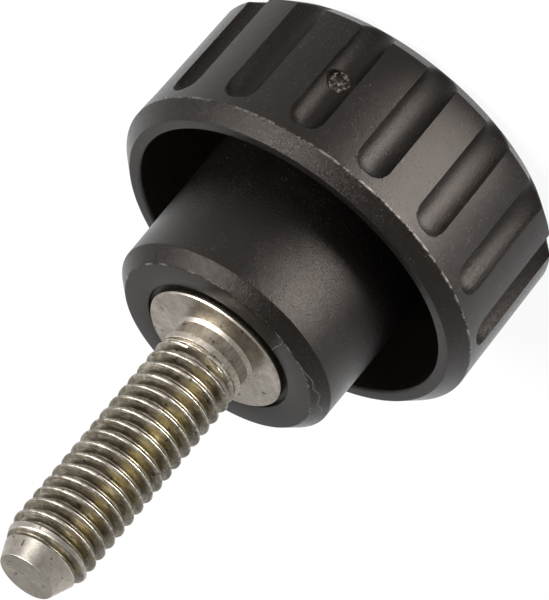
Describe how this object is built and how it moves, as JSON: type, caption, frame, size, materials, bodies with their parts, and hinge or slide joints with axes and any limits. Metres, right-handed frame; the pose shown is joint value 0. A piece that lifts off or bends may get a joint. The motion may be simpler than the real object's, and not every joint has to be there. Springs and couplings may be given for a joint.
{
  "type": "knurled head screw",
  "caption": "Hand screw with a fluted black plastic head, hollow behind its rim, and a flanged stainless steel stud with a metric thread and a coned tip.",
  "frame": {"origin": "centre of the flat end of the head, which the part stands on", "axes": "+Z along the screw from the flat end of the head to the tip, +X and +Y across it"},
  "size_m": [0.026, 0.026, 0.0389],
  "materials": {
    "black_plastic": "fine textured, matt",
    "stainless_steel": "turned, lightly stained in the thread"
  },
  "bodies": {
    "root": {"knob": "black_plastic", "stud": "stainless_steel"}
  },
  "joints": []
}
